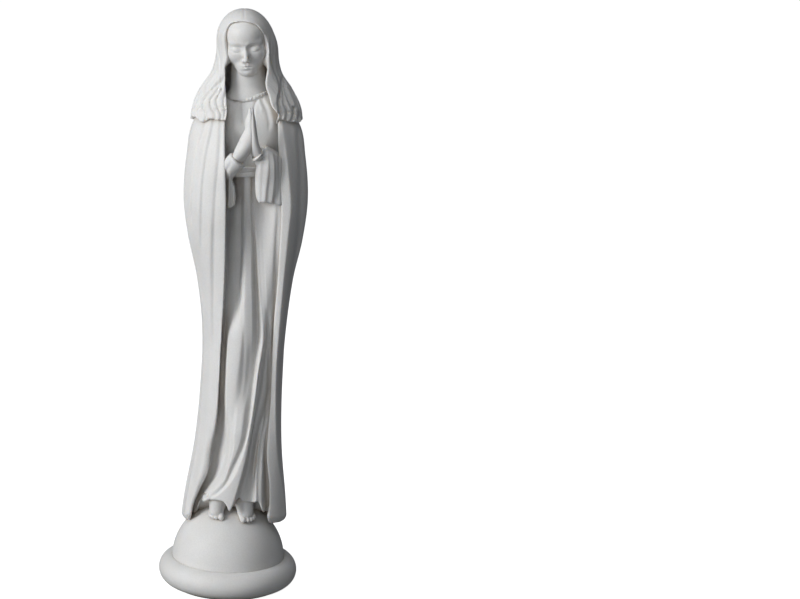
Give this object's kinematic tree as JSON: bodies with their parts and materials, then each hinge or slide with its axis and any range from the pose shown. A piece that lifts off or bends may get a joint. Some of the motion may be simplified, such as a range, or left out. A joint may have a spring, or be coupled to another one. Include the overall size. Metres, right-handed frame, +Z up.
{
  "type": "praying madonna statue",
  "caption": "Slender robed woman with long hair, hands joined in prayer, standing on a half globe with a round ring base.",
  "frame": {"origin": "centre of the base's underside, on the felt's lower face", "axes": "+Z up through the figure; the figure faces -Y; +X is to the right of someone facing it"},
  "size_m": [0.08, 0.08, 0.33],
  "materials": {
    "cast_marble": "satin",
    "steel": "satin",
    "brass": "satin",
    "felt": "matte"
  },
  "bodies": {
    "root": {"base_ring": "cast_marble", "globe": "cast_marble", "gown_skirt": "cast_marble", "gown_bodice": "cast_marble", "sash": "cast_marble", "neckline_cord": "cast_marble", "mantle": "cast_marble", "hair": "cast_marble", "head": "cast_marble", "right_sleeve": "cast_marble", "left_sleeve": "cast_marble", "right_hand": "cast_marble", "left_hand": "cast_marble", "right_foot": "cast_marble", "left_foot": "cast_marble", "threaded_rod": "steel", "washer": "steel", "hex_nut": "steel", "locating_pins": "steel", "neck_dowel": "steel", "wrist_pins": "steel", "rod_insert": "brass", "felt_pad": "felt"}
  },
  "joints": []
}
